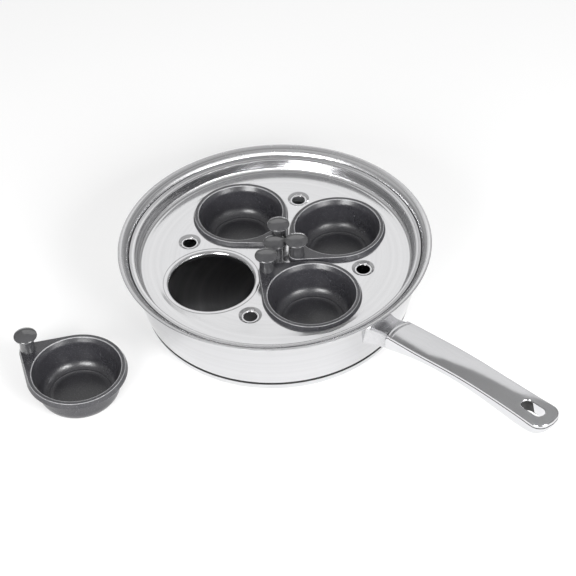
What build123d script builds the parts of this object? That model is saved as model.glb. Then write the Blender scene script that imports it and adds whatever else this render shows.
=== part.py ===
from build123d import *
import math
import os

os.makedirs("parts", exist_ok=True)

# An egg poacher pan: a pan with a layered base and a hollow handle, a drop-in
# poaching tray with four holes, and four cups that each carry a knob.
# The pan stands on Z = 0 with its axis on Z, and its handle points along +X.

# Fits shared by the pieces
fit = 0.05                  # between pieces of one assembly that are pressed or welded
seat_gap = 0.3              # between the tray's rim and the pan's lip
overrun = 20                # how far cutting tools run past the piece they cut

# Pan body
pan_height = 66.1
pan_sheet = 0.9
lip_band = 13.2             # from the tray's crest out to the lip's edge
flare_reach = 7.6           # from the top of the wall out to the lip's edge
flare_height = 6.9
wall_draft = 9.1            # how much narrower the wall is at its foot
wall_bulge_depth = 0.8
wall_foot_height = 14.2
seam_step = 0.5             # the wall stands out past the base cap by this
corner_share = 1.2          # how far the corner reaches in, as a share of its height

# Layered base
core_thickness = 6
cap_sheet = 0.5
cap_corner_radius = 12.4
cap_edge_height = 13
core_edge_height = 10

# Poaching tray
tray_sheet = 0.8
tray_rim_depth = 5.5        # from the top of the pan down to the tray's outer edge
tray_flange_fall = 1
tray_depth = 10.1           # from the flange's inner crest down to the flat plate
tray_wall_lean = 2.2
plate_margin = 12.3         # from the cups' rims out to the tray's upright wall
tray_fillet = 4.5
crest_fillet = 1

# Cup holes in the tray
cup_spacing = 3.5           # between the rims of neighbouring cups
hole_radius = 34.8
collar_drop = 2.9
collar_bend = 1.9
collar_land = 2             # flat ring round the bend that is formed with the collar
first_hole_angle = 257.3    # the hole that has no cup in it
hole_count = 4

# Steam vents
vent_radius = 5.85
vent_offset = 14.4          # how much further out the vents are than the cups
vent_dish_radius = 9.4
vent_dish_depth = 1.25
vent_lip = 0.8
vent_bend = 0.9

# Cups
cup_clearance = 0.4         # round the cup inside its hole
cup_wall = 1.6
cup_drop = 24.6             # from the seat down to the cup's flat bottom
cup_corner_radius = 12
cup_draft = 3.4             # how much narrower the wall is where it meets the bottom
cup_rim_height = 4.2
cup_rim_overlap = 4.9       # how far the rim reaches over the tray, past the hole
cup_rim_bevel = 1.6
cup_mouth_flare = 3
cup_mouth_depth = 4.5
cup_edge_round = 0.5
tab_overhang = 6.9          # from the rim out to the knob's axis
tab_radius = 7.45
tab_bevel = 0.9

# How far each cup in the tray is turned from pointing its knob at the middle.
# The cups follow each other clockwise from the hole that has none.
cup_twist_angles = [13.8, 14.9, 19.9]

# The cup that stands by itself beside the pan
loose_cup_gap = 19.6        # between its rim and the pan's lip
loose_cup_angle = -99
loose_cup_turn_angle = 197.7

# Knobs
knob_foot_radius = 6.2
knob_waist_radius = 5.85
knob_neck_radius = 6.1
knob_neck_height = 12
knob_cap_radius = 9.3
knob_underside_rise = 1.7
knob_rim_thickness = 1.3
knob_rim_width = 0.35
knob_dome_height = 2.5

# Threaded insert and screw of a knob
insert_radius = 3.2
insert_length = 9
screw_radius = 2
screw_end_gap = 1.5         # left in the insert past the screw's tip
screw_head_radius = 3.6
screw_head_height = 1.9
screw_recess_side_gap = 0.7
screw_recess_end_gap = 0.4
drive_slot_length = 4.2
drive_slot_width = 0.9
drive_slot_depth = 0.9

# Handle
handle_offset = 11          # from the lip's edge out to where the handle starts
handle_length = 153.5
handle_half_width = 12.4
handle_root_drop = 3        # the handle's top starts this far below the lip
handle_rise = 13.8          # from the start of the top to its end
handle_root_depth = 17.7
handle_sheet = 1.2
handle_crown_height = 0.55         # how much higher the middle of the top is than its edges
handle_top_round = 1.6
handle_low_round = 4.4
seam_below_top = 2.6
nose_corner_radius = 9
nose_bulge_length = 0.5
slot_length = 19
slot_width = 9
slot_to_end = 18.5
# Stations along the handle, as shares of its length, half-width, rise and depth
handle_station_shares = [
    (0.000, 0.920, 0.000, 1.000),
    (0.085, 0.950, 0.130, 0.820),
    (0.215, 0.970, 0.325, 0.590),
    (0.345, 0.960, 0.545, 0.540),
    (0.475, 0.935, 0.720, 0.565),
    (0.605, 0.920, 0.820, 0.640),
    (0.735, 0.930, 0.890, 0.755),
    (0.855, 0.960, 0.940, 0.810),
    (0.930, 1.000, 0.970, 0.710),
    (1.020, 1.000, 1.000, 0.360),
]

# Bracket that joins the handle to the wall
bracket_root_reach = 6.4    # inside the top of the wall, where the root is trimmed
bracket_root_half_width = 15
bracket_root_drop = 1.1     # below the top of the wall
bracket_root_depth = 19.8
bracket_neck_offset = 6.6   # from the top of the wall out to the narrow neck
bracket_neck_half_width = 11.2
bracket_neck_rise = 1.4
bracket_neck_depth = 17.2
bracket_end_inset = 0.9     # the handle stands proud of the bracket by this
bracket_round = 2.4
tongue_length = 16


def spin(outline):
    """Turn an outline drawn as radius and height into a solid round the Z axis."""
    return revolve(Plane.XZ * outline, Axis.Z)


def sheet(curves, thickness, side):
    """Give a line drawn as radius and height the thickness of its sheet."""
    path = Wire([curve.edge() for curve in curves])
    return Face(path.offset_2d(thickness, side=side))


def closed(curves):
    return Face(Wire([curve.edge() for curve in curves]))


def disc(radius, low, high):
    """Cylinder on the Z axis between two heights."""
    return Pos(0, 0, low) * Cylinder(
        radius, high - low, align=(Align.CENTER, Align.CENTER, Align.MIN)
    )


def at_angle(radius, angle, height=0):
    turn = math.radians(angle)
    return Pos(radius * math.cos(turn), radius * math.sin(turn), height)


# Where the cups sit sets how wide the tray and the pan are
cup_rim_radius = hole_radius + cup_rim_overlap
hole_step = 360 / hole_count
hole_angles = [first_hole_angle + hole_step * index for index in range(hole_count)]
half_spacing = cup_rim_radius + cup_spacing / 2
hole_pitch_radius = half_spacing / math.sin(math.radians(hole_step / 2))
vent_pitch_radius = hole_pitch_radius + vent_offset
plate_corner_radius = hole_pitch_radius + cup_rim_radius + plate_margin
crest_radius = plate_corner_radius + tray_wall_lean
lip_radius = crest_radius + lip_band

# Pan body
wall_top_radius = lip_radius - flare_reach
wall_top_height = pan_height - pan_sheet - flare_height
wall_foot_radius = wall_top_radius - wall_draft
base_height = cap_sheet + core_thickness
cap_radius = wall_foot_radius - seam_step
cap_flat_radius = cap_radius - cap_corner_radius
joggle_radius = cap_radius - cap_sheet - fit
joggle_height = cap_edge_height + fit
corner_height = joggle_height - base_height
corner_flat_radius = joggle_radius - corner_share * corner_height

pan_floor = Line((0, base_height), (corner_flat_radius, base_height))
pan_corner = TangentArc(pan_floor @ 1, (joggle_radius, joggle_height), tangent=(1, 0))
pan_joggle = Line(pan_corner @ 1, (wall_foot_radius, wall_foot_height))
pan_wall = SagittaArc(pan_joggle @ 1, (wall_top_radius, wall_top_height), -wall_bulge_depth)
pan_flare = TangentArc(pan_wall @ 1, (lip_radius, pan_height - pan_sheet), tangent=pan_wall % 1)
pan_line = [pan_floor, pan_corner, pan_joggle, pan_wall, pan_flare]
pan_body = spin(sheet(pan_line, pan_sheet, Side.LEFT))

# Everything inside the outer face of the pan, which trims what is welded to it
pan_close_top = Line(pan_flare @ 1, (0, pan_height - pan_sheet))
pan_close_axis = Line(pan_close_top @ 1, (0, base_height))
pan_envelope = spin(closed(pan_line + [pan_close_top, pan_close_axis]))

# Base cap and the core it holds against the pan
cap_floor = Line((0, 0), (cap_flat_radius, 0))
cap_corner = TangentArc(cap_floor @ 1, (cap_radius, cap_corner_radius), tangent=(1, 0))
cap_edge = Line(cap_corner @ 1, (cap_radius, cap_edge_height))
base_cap = spin(sheet([cap_floor, cap_corner, cap_edge], cap_sheet, Side.LEFT))

core_floor = Line((0, cap_sheet), (cap_flat_radius, cap_sheet))
core_corner_radius = cap_corner_radius - cap_sheet - fit
core_rise = cap_corner_radius - core_edge_height
core_edge_radius = cap_flat_radius + math.sqrt(core_corner_radius**2 - core_rise**2)
core_corner = TangentArc(core_floor @ 1, (core_edge_radius, core_edge_height), tangent=(1, 0))
core_top = Line(core_corner @ 1, (0, core_edge_height))
core_axis = Line(core_top @ 1, (0, cap_sheet))
base_core = spin(closed([core_floor, core_corner, core_top, core_axis])) - pan_envelope

# Poaching tray
rim_height = pan_height - tray_rim_depth
flare_center = pan_flare.arc_center
flare_gap_radius = pan_flare.radius + pan_sheet + seat_gap
rim_rise = rim_height - tray_sheet - flare_center.Y
flange_reach = flare_center.X - math.sqrt(flare_gap_radius**2 - rim_rise**2) - crest_radius
edge_lean = tray_sheet * tray_flange_fall / flange_reach
tray_radius = crest_radius + flange_reach - edge_lean
crest_height = rim_height - tray_flange_fall
plate_height = crest_height - tray_depth
tray_line = FilletPolyline(
    (0, plate_height),
    (plate_corner_radius, plate_height),
    (crest_radius, crest_height),
    (tray_radius, rim_height),
    radius=(tray_fillet, crest_fillet),
)
poacher_plate = spin(sheet(tray_line.edges(), tray_sheet, Side.RIGHT))


def collar():
    """Turned-down edge of one cup hole, with the flat land round it."""
    land_radius = hole_radius + collar_bend + collar_land
    line = FilletPolyline(
        (land_radius, plate_height),
        (hole_radius, plate_height),
        (hole_radius, plate_height - collar_drop),
        radius=collar_bend,
    )
    ring = spin(sheet(line.edges(), tray_sheet, Side.LEFT))
    return disc(land_radius, plate_height - overrun, plate_height + overrun), ring


def vent_dish():
    """Shallow dish pressed round one steam vent."""
    land_radius = vent_dish_radius + vent_lip
    dish_height = plate_height - vent_dish_depth
    line = FilletPolyline(
        (land_radius, plate_height),
        (vent_dish_radius, plate_height),
        (vent_radius + vent_lip, dish_height),
        (vent_radius, dish_height),
        radius=(vent_bend, vent_lip / 2),
    )
    ring = spin(sheet(line.edges(), tray_sheet, Side.LEFT))
    return disc(land_radius, plate_height - overrun, plate_height + overrun), ring


collar_cut, collar_ring = collar()
vent_cut, vent_ring = vent_dish()
for hole_angle in hole_angles:
    hole_place = at_angle(hole_pitch_radius, hole_angle)
    vent_place = at_angle(vent_pitch_radius, hole_angle + hole_step / 2)
    poacher_plate = poacher_plate - hole_place * collar_cut + hole_place * collar_ring
    poacher_plate = poacher_plate - vent_place * vent_cut + vent_place * vent_ring
screw_hole = disc(screw_radius + fit, plate_height - overrun, plate_height + overrun)
poacher_plate -= screw_hole


# Cup, drawn with its seat on Z = 0 and its knob along +X
tab_reach = cup_rim_radius + tab_overhang
screw_recess_radius = screw_head_radius + screw_recess_side_gap
screw_recess_depth = screw_head_height + screw_recess_end_gap


def tab_outline(rim_radius, end_radius, height):
    """Outline of a cup's rim and tab, as two arcs and their shared tangents."""
    lean = math.degrees(math.acos((rim_radius - end_radius) / tab_reach))
    rim_arc = CenterArc((0, 0), rim_radius, lean, 360 - 2 * lean)
    end_arc = CenterArc((tab_reach, 0), end_radius, -lean, 2 * lean)
    low_side = Line(rim_arc @ 1, end_arc @ 0)
    high_side = Line(end_arc @ 1, rim_arc @ 0)
    return Pos(0, 0, height) * closed([rim_arc, low_side, end_arc, high_side])


def make_cup():
    outer_radius = hole_radius - cup_clearance
    corner_radius = outer_radius - cup_draft
    outer_line = FilletPolyline(
        (0, -cup_drop), (corner_radius, -cup_drop), (outer_radius, 0), radius=cup_corner_radius
    )
    outer_top = Line(outer_line @ 1, (0, 0))
    outer_axis = Line(outer_top @ 1, (0, -cup_drop))
    shell = spin(closed([*outer_line.edges(), outer_top, outer_axis]))

    low_outline = tab_outline(cup_rim_radius, tab_radius, 0)
    high_outline = tab_outline(
        cup_rim_radius - cup_rim_bevel, tab_radius - tab_bevel, cup_rim_height
    )
    rim = loft([low_outline, high_outline], ruled=True)
    rim = fillet(rim.faces().sort_by(Axis.Z)[-1].edges(), cup_edge_round)

    mouth_height = cup_rim_height - cup_mouth_depth
    wall_radius = outer_radius - cup_wall
    inner_line = FilletPolyline(
        (0, cup_wall - cup_drop),
        (corner_radius - cup_wall, cup_wall - cup_drop),
        (wall_radius, mouth_height),
        radius=cup_corner_radius - cup_wall,
    )
    inner_edges = inner_line.edges()
    mouth_radius = wall_radius + cup_mouth_flare
    mouth = TangentArc(
        inner_line @ 1, (mouth_radius, cup_rim_height), tangent=inner_line % 1
    )
    inner_top = Line(mouth @ 1, (0, cup_rim_height))
    inner_axis = Line(inner_top @ 1, (0, cup_wall - cup_drop))
    cavity = spin(closed([*inner_edges, mouth, inner_top, inner_axis]))

    recess = Pos(tab_reach, 0) * disc(screw_recess_radius, 0, screw_recess_depth)
    hole = Pos(tab_reach, 0) * disc(screw_radius + fit, 0, cup_rim_height + overrun)
    return shell + rim - cavity - recess - hole


# Knob, insert and screw, drawn with the knob's foot on Z = 0
knob_cap_low = knob_neck_height + knob_underside_rise
knob_cap_high = knob_cap_low + knob_rim_thickness
knob_height = knob_cap_high + knob_dome_height


def make_knob():
    foot = Line((0, 0), (knob_foot_radius, 0))
    post = ThreePointArc(
        foot @ 1, (knob_waist_radius, knob_neck_height / 2), (knob_neck_radius, knob_neck_height)
    )
    underside = Line(post @ 1, (knob_cap_radius - knob_rim_width, knob_cap_low))
    cap_middle = (knob_cap_low + knob_cap_high) / 2
    edge = ThreePointArc(
        underside @ 1,
        (knob_cap_radius, cap_middle),
        (knob_cap_radius - knob_rim_width, knob_cap_high),
    )
    dome = TangentArc((0, knob_height), edge @ 1, tangent=(1, 0))
    axis = Line((0, knob_height), (0, 0))
    body = spin(closed([foot, post, underside, edge, dome, axis]))
    return body - disc(insert_radius + fit, 0, insert_length)


def make_insert():
    return disc(insert_radius, 0, insert_length) - disc(screw_radius + fit, 0, insert_length)


def make_screw(grip):
    """Screw whose head bears on the far side of a sheet as thick as grip."""
    shank = disc(screw_radius, -grip, insert_length - screw_end_gap)
    head = disc(screw_head_radius, -grip - screw_head_height, -grip)
    head = fillet(head.edges().sort_by(Axis.Z)[0], screw_head_height / 2)
    slot = Pos(0, 0, -grip - screw_head_height) * Box(
        drive_slot_length,
        drive_slot_width,
        drive_slot_depth,
        align=(Align.CENTER, Align.CENTER, Align.MIN),
    )
    return head + shank - slot - Rot(0, 0, 90) * slot


# Handle, along +X from its start outside the lip
handle_start = lip_radius + handle_offset
handle_end = handle_start + handle_length
handle_root_top = pan_height - handle_root_drop
slot_center = handle_end - slot_to_end
handle_stations = []
for length_share, width_share, rise_share, depth_share in handle_station_shares:
    station_top = handle_root_top + handle_rise * rise_share
    station_bottom = station_top - handle_root_depth * depth_share
    handle_stations.append((
        handle_start + handle_length * length_share,
        handle_half_width * width_share,
        station_top,
        station_bottom,
    ))


def across_handle(place):
    return Plane(origin=(place, 0, 0), x_dir=(0, 1, 0), z_dir=(1, 0, 0))


def handle_section(station, inset):
    """Face across the handle: crowned top, upright sides and a rounded underside."""
    place, half_width, top, bottom = station
    side = half_width - inset
    top = top - inset
    bottom = bottom + inset
    edge_top = top - handle_crown_height
    face = closed([
        ThreePointArc((side, edge_top), (0, top), (-side, edge_top)),
        Line((-side, edge_top), (-side, bottom)),
        Line((-side, bottom), (side, bottom)),
        Line((side, bottom), (side, edge_top)),
    ])
    low_round = min(handle_low_round - inset, (edge_top - bottom) / 3)
    top_round = handle_top_round / (1 + inset / handle_sheet)
    face = fillet(face.vertices().sort_by(Axis.Y)[:2], low_round)
    face = fillet(face.vertices().sort_by(Axis.Y)[-2:], top_round)
    return across_handle(place) * face


def handle_form(inset):
    """Outer form of the handle, or the hollow inside it at a given inset."""
    bar = loft([handle_section(station, inset) for station in handle_stations])
    side = handle_half_width - inset
    start = handle_start - overrun
    nose_tip = handle_end - inset
    corner_tip = nose_tip - nose_bulge_length
    corner_radius = nose_corner_radius - inset
    corner_place = corner_tip - corner_radius
    nose_side = side - corner_radius
    low_corner = TangentArc((corner_place, -side), (corner_tip, -nose_side), tangent=(1, 0))
    high_corner = TangentArc((corner_place, side), (corner_tip, nose_side), tangent=(1, 0))
    outline = closed([
        Line((start, -side), (corner_place, -side)),
        low_corner,
        ThreePointArc((corner_tip, -nose_side), (nose_tip, 0), (corner_tip, nose_side)),
        high_corner,
        Line((corner_place, side), (start, side)),
        Line((start, side), (start, -side)),
    ])
    return bar & extrude(outline, pan_height + overrun)


handle_solid = handle_form(0)
hollow = handle_form(handle_sheet)
slot_tube = Pos(slot_center, 0) * extrude(
    SlotOverall(slot_length + 2 * handle_sheet, slot_width + 2 * handle_sheet),
    pan_height + overrun,
)
slot_hole = Pos(slot_center, 0) * extrude(
    SlotOverall(slot_length, slot_width), pan_height + overrun
)
handle_tube = handle_solid & slot_tube
handle_shells = handle_solid - hollow - slot_tube

seam_points = [(place, top - seam_below_top) for place, side, top, low in handle_stations]
seam_line = Spline(*seam_points)
seam_start = seam_line @ 0
seam_end = seam_line @ 1
seam_roof = seam_end.Y + overrun
above_outline = closed([
    seam_line,
    Line(seam_end, (seam_end.X, seam_roof)),
    Line((seam_end.X, seam_roof), (seam_start.X, seam_roof)),
    Line((seam_start.X, seam_roof), seam_start),
])
above_seam = extrude(Plane.XZ * above_outline, overrun, both=True)
handle_upper_shell = (handle_shells & above_seam) + handle_tube - slot_hole
handle_lower_shell = handle_shells - above_seam


# Bracket: trimmed to the wall at its root, with a tongue inside the handle
def bracket_section(place, half_width, top, bottom):
    face = Rectangle(2 * half_width, top - bottom)
    face = fillet(face.vertices(), bracket_round)
    return across_handle(place) * Pos(0, (top + bottom) / 2) * face


root_top = wall_top_height - bracket_root_drop
neck_top = root_top + bracket_neck_rise
start_place, start_half_width, start_top, start_bottom = handle_stations[0]
end_half_width = start_half_width - bracket_end_inset
end_top = start_top - bracket_end_inset
end_bottom = start_bottom + bracket_end_inset
bracket = loft([
    bracket_section(
        wall_top_radius - bracket_root_reach,
        bracket_root_half_width,
        root_top,
        root_top - bracket_root_depth,
    ),
    bracket_section(
        wall_top_radius + bracket_neck_offset,
        bracket_neck_half_width,
        neck_top,
        neck_top - bracket_neck_depth,
    ),
    bracket_section(start_place, end_half_width, end_top, end_bottom),
])
tongue_block = Pos(handle_start, 0, end_bottom) * Box(
    tongue_length,
    2 * end_half_width,
    end_top,
    align=(Align.MIN, Align.CENTER, Align.MIN),
)
tongue = handle_form(handle_sheet + fit) & tongue_block
handle_bracket = bracket - pan_envelope + tongue

# Place the cups and write every piece
pieces = {
    "pan_body": pan_body,
    "base_core": base_core,
    "base_cap": base_cap,
    "handle_bracket": handle_bracket,
    "handle_upper_shell": handle_upper_shell,
    "handle_lower_shell": handle_lower_shell,
    "poacher_plate": poacher_plate,
}

cup = make_cup()
knob = make_knob()
insert = make_insert()
tab_screw = make_screw(cup_rim_height - screw_recess_depth)
plate_screw = make_screw(tray_sheet)


def add_cup(name, place, turn):
    """One cup with its knob, insert and screw, at a place and turned about its axis."""
    cup_frame = place * Rot(0, 0, turn)
    knob_frame = cup_frame * Pos(tab_reach, 0, cup_rim_height)
    pieces[name] = cup_frame * cup
    pieces[name + "_knob"] = knob_frame * knob
    pieces[name + "_insert"] = knob_frame * insert
    pieces[name + "_screw"] = knob_frame * tab_screw


for number, twist in enumerate(cup_twist_angles, start=1):
    cup_angle = hole_angles[-number]
    cup_place = at_angle(hole_pitch_radius, cup_angle, plate_height)
    add_cup(f"cup_{number}", cup_place, cup_angle + 180 + twist)
loose_cup_distance = lip_radius + loose_cup_gap + cup_rim_radius
add_cup("loose_cup", at_angle(loose_cup_distance, loose_cup_angle, cup_drop), loose_cup_turn_angle)

tray_middle = Pos(0, 0, plate_height)
pieces["plate_knob"] = tray_middle * knob
pieces["plate_knob_insert"] = tray_middle * insert
pieces["plate_knob_screw"] = tray_middle * plate_screw

for name, piece in pieces.items():
    export_step(piece, f"parts/{name}.step")
    print(name, round(piece.volume), piece.is_valid)
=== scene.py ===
import bmesh
import bpy
from math import acos, atan2, cos, exp, hypot, pi, radians, sin, sqrt
from mathutils import Matrix, Vector


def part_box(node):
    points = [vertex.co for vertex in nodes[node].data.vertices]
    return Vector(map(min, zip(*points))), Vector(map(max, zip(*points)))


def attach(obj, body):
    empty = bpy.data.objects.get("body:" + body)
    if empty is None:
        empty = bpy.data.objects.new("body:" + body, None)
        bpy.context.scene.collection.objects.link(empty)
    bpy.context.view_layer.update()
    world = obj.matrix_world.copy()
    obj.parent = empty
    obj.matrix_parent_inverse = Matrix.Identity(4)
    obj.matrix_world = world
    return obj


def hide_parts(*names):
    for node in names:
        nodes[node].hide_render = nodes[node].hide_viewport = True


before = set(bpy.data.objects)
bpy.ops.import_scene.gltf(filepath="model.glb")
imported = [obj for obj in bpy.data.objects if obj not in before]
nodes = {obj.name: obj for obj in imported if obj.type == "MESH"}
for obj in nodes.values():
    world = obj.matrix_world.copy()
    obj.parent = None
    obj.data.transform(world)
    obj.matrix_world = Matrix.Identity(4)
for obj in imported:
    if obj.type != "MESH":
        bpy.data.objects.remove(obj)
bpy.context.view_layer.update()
mm = 0.001
perMetre = 1000.0
tiny = 1e-6

# An outline is a list of (radius, height) points in millimetres.
support = 0.25   # a straight gets a point this close to each end, so that it shades flat


def turned(vector, angle):
    c, s = cos(angle), sin(angle)
    return (vector[0] * c - vector[1] * s, vector[0] * s + vector[1] * c)


def straight(start, end):
    length = hypot(end[0] - start[0], end[1] - start[1])
    if length < 3 * support:
        return [start, end]
    share = support / length
    near = (start[0] + (end[0] - start[0]) * share, start[1] + (end[1] - start[1]) * share)
    far = (end[0] + (start[0] - end[0]) * share, end[1] + (start[1] - end[1]) * share)
    return [start, near, far, end]


def arc(center, radius, startAngle, endAngle, count):
    step = (endAngle - startAngle) / count
    angles = [startAngle + step * i for i in range(count + 1)]
    return [(center[0] + radius * cos(a), center[1] + radius * sin(a)) for a in angles]


# Arc that leaves start along a direction and ends at end
def tangentArc(start, direction, end, count=12):
    size = hypot(*direction)
    normal = (-direction[1] / size, direction[0] / size)
    across = (end[0] - start[0], end[1] - start[1])
    lean = normal[0] * across[0] + normal[1] * across[1]
    radius = (across[0] ** 2 + across[1] ** 2) / (2 * lean)
    center = (start[0] + normal[0] * radius, start[1] + normal[1] * radius)
    startAngle = atan2(start[1] - center[1], start[0] - center[0])
    endAngle = atan2(end[1] - center[1], end[0] - center[0])
    sweep = (endAngle - startAngle) % (2 * pi)
    if radius < 0:
        sweep -= 2 * pi
    return arc(center, abs(radius), startAngle, startAngle + sweep, count)


# Arc through two points that stands out from the line between them by bulge
def bowedArc(start, end, bulge, count=12):
    chord = hypot(end[0] - start[0], end[1] - start[1])
    turn = 2 * atan2(2 * bulge, chord)
    along = (end[0] - start[0], end[1] - start[1])
    return tangentArc(start, turned(along, -turn), end, count)


# Straight runs joined by fillets, one radius for each corner between the ends
def rounded(corners, radii, count=8):
    points = [corners[0]]
    for before, corner, after, radius in zip(corners, corners[1:], corners[2:], radii):
        into = Vector((before[0] - corner[0], before[1] - corner[1])).normalized()
        out = Vector((after[0] - corner[0], after[1] - corner[1])).normalized()
        half = into.angle(out) / 2
        reach = radius / max(abs(sin(half) / cos(half)), tiny)
        start = (corner[0] + into.x * reach, corner[1] + into.y * reach)
        end = (corner[0] + out.x * reach, corner[1] + out.y * reach)
        points += straight(points[-1], start)[1:]
        points += tangentArc(start, (-into.x, -into.y), end, count)[1:]
    return points + straight(points[-1], corners[-1])[1:]


def joined(*runs):
    points = list(runs[0])
    for run in runs[1:]:
        points += run[1:]
    return points


# The line moved sideways by a distance, to its left where that is positive
def offsetLine(line, distance):
    moved = []
    for i, point in enumerate(line):
        before, after = line[max(i - 1, 0)], line[min(i + 1, len(line) - 1)]
        along = Vector((after[0] - before[0], after[1] - before[1])).normalized()
        moved.append((point[0] - along.y * distance, point[1] + along.x * distance))
    if abs(line[0][0]) < tiny:
        moved[0] = (0, moved[0][1])
    return moved


# Both faces of a sheet, and the rounded edge where it ends
def sheetOutline(line, thickness):
    other = offsetLine(line, thickness)
    end, back = Vector(line[-1]), Vector(other[-1])
    middle = (end + back) / 2
    startAngle = atan2(end.y - middle.y, end.x - middle.x)
    turn = pi if thickness > 0 else -pi
    edge = arc(middle, abs(thickness) / 2, startAngle, startAngle + turn, 6)
    return line + edge[1:-1] + other[::-1]


def newPiece(name, mesh, materials=(), place=(0, 0, 0)):
    piece = bpy.data.objects.new(name, mesh)
    bpy.context.scene.collection.objects.link(piece)
    for material in materials:
        mesh.materials.append(material)
    piece.location = place
    return piece


def finishMesh(name, build, weld=0.002):
    bmesh.ops.remove_doubles(build, verts=build.verts, dist=weld)
    bmesh.ops.recalc_face_normals(build, faces=build.faces)
    for face in build.faces:
        face.smooth = True
    bmesh.ops.scale(build, vec=(mm, mm, mm), verts=build.verts)
    mesh = bpy.data.meshes.new(name)
    build.to_mesh(mesh)
    build.free()
    return mesh


# Rows of points joined into quads; a row may close on itself.
# Faces that start at a marked row get the second material.
def addRows(build, rows, closed=False, marked=()):
    grid = [[build.verts.new(point) for point in row] for row in rows]
    for index, (near, far) in enumerate(zip(grid, grid[1:])):
        count = len(near)
        for i in range(count if closed else count - 1):
            j = (i + 1) % count
            face = build.faces.new((near[i], near[j], far[j], far[i]))
            face.material_index = 1 if index in marked else 0
    return grid


def addPole(build, ring, center):
    pole = build.verts.new(center)
    for i, vertex in enumerate(ring):
        build.faces.new((vertex, ring[(i + 1) % len(ring)], pole))


def circle(radius, height, angles, center=(0, 0)):
    return [(center[0] + radius * cos(a), center[1] + radius * sin(a), height) for a in angles]


def evenAngles(count):
    return [2 * pi * i / count for i in range(count)]


# Outline turned about the Z axis; points on the axis become poles
def addLathe(build, outline, angles, center=(0, 0)):
    rows = [point for point in outline if point[0] > tiny]
    grid = addRows(build, [circle(r, z, angles, center) for r, z in rows], closed=True)
    for point, ring in ((outline[0], grid[0]), (outline[-1], grid[-1])):
        if point[0] <= tiny:
            addPole(build, ring, (center[0], center[1], point[1]))
    return grid


def latheMesh(name, outline, count):
    build = bmesh.new()
    addLathe(build, outline, evenAngles(count))
    return finishMesh(name, build)


# Flat face inside one loop of points, with holes along the others
def addPlate(build, outer, holes):
    edges = []
    for loop in [outer, *holes]:
        verts = [build.verts.new(point) for point in loop]
        edges += [build.edges.new((verts[i - 1], verts[i])) for i in range(len(verts))]
    bmesh.ops.triangle_fill(build, use_beauty=True, edges=edges, normal=(0, 0, 1))


def nodeTools(tree):
    def add(kind, **values):
        node = tree.nodes.new(kind)
        for key, value in values.items():
            if hasattr(node, key):
                setattr(node, key, value)
            else:
                node.inputs[key.replace("_", " ")].default_value = value
        return node

    return add, tree.links.new


def newGroup(name, inputs, outputs):
    group = bpy.data.node_groups.new(name, "ShaderNodeTree")
    for label, kind, value in inputs:
        socket = group.interface.new_socket(label, in_out="INPUT", socket_type=kind)
        if value is not None:
            socket.default_value = value
    for label, kind in outputs:
        group.interface.new_socket(label, in_out="OUTPUT", socket_type=kind)
    add, link = nodeTools(group)
    return group, add, link, add("NodeGroupInput"), add("NodeGroupOutput")


def math(add, link, operation, first, second=None):
    node = add("ShaderNodeMath", operation=operation)
    for index, value in enumerate((first, second)):
        if value is None:
            continue
        if hasattr(value, "is_output"):
            link(value, node.inputs[index])
        else:
            node.inputs[index].default_value = value
    return node.outputs[0]


def placeParts(add, link, label="Object"):
    place = add("ShaderNodeTexCoord")
    parts = add("ShaderNodeSeparateXYZ")
    link(place.outputs[label], parts.inputs[0])
    return parts


def objectNoise(add, link, **values):
    place = add("ShaderNodeTexCoord")
    noise = add("ShaderNodeTexNoise", **values)
    link(place.outputs["Object"], noise.inputs["Vector"])
    return noise


# Fine lines for the bump, and wider ones of the same direction for the color
def lineNoise(add, link, given, result, lines):
    fine = add("ShaderNodeTexNoise", Scale=1.0, Detail=3.0, Roughness=0.6)
    link(lines.outputs[0], fine.inputs["Vector"])
    link(fine.outputs["Fac"], result.inputs["Height"])
    wide = add("ShaderNodeVectorMath", operation="SCALE")
    link(given.outputs["Streak share"], wide.inputs["Scale"])
    link(lines.outputs[0], wide.inputs[0])
    streaks = add("ShaderNodeTexNoise", Scale=1.0, Detail=2.0)
    link(wide.outputs[0], streaks.inputs["Vector"])
    return streaks.outputs["Fac"]


# Fine turned lines round the Z axis, as a buffing wheel leaves them on a spun pan
def buildTurnedLines():
    group, add, link, given, result = newGroup(
        "turnedLines",
        [("Lines per mm", "NodeSocketFloat", 3.0), ("Broken", "NodeSocketFloat", 0.6),
         ("Streak share", "NodeSocketFloat", 0.12)],
        [("Height", "NodeSocketFloat"), ("Streaks", "NodeSocketFloat")],
    )
    parts = placeParts(add, link)
    flat = add("ShaderNodeCombineXYZ")
    link(parts.outputs["X"], flat.inputs["X"])
    link(parts.outputs["Y"], flat.inputs["Y"])
    radius = add("ShaderNodeVectorMath", operation="LENGTH")
    link(flat.outputs[0], radius.inputs[0])
    frequency = math(add, link, "MULTIPLY", given.outputs["Lines per mm"], perMetre)
    across = math(add, link, "MULTIPLY", radius.outputs["Value"], frequency)
    upward = math(add, link, "MULTIPLY", parts.outputs["Z"], frequency)
    turn = math(add, link, "ARCTAN2", parts.outputs["Y"], parts.outputs["X"])
    swing = math(add, link, "SINE", turn)   # the same on both sides of the turn's end, so no seam shows
    around = math(add, link, "MULTIPLY", swing, given.outputs["Broken"])
    lines = add("ShaderNodeCombineXYZ")
    link(across, lines.inputs["X"])
    link(upward, lines.inputs["Y"])
    link(around, lines.inputs["Z"])
    sharp = add("ShaderNodeMapRange", From_Min=0.36, From_Max=0.64)
    link(lineNoise(add, link, given, result, lines), sharp.inputs["Value"])
    link(sharp.outputs["Result"], result.inputs["Streaks"])
    return group


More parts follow.
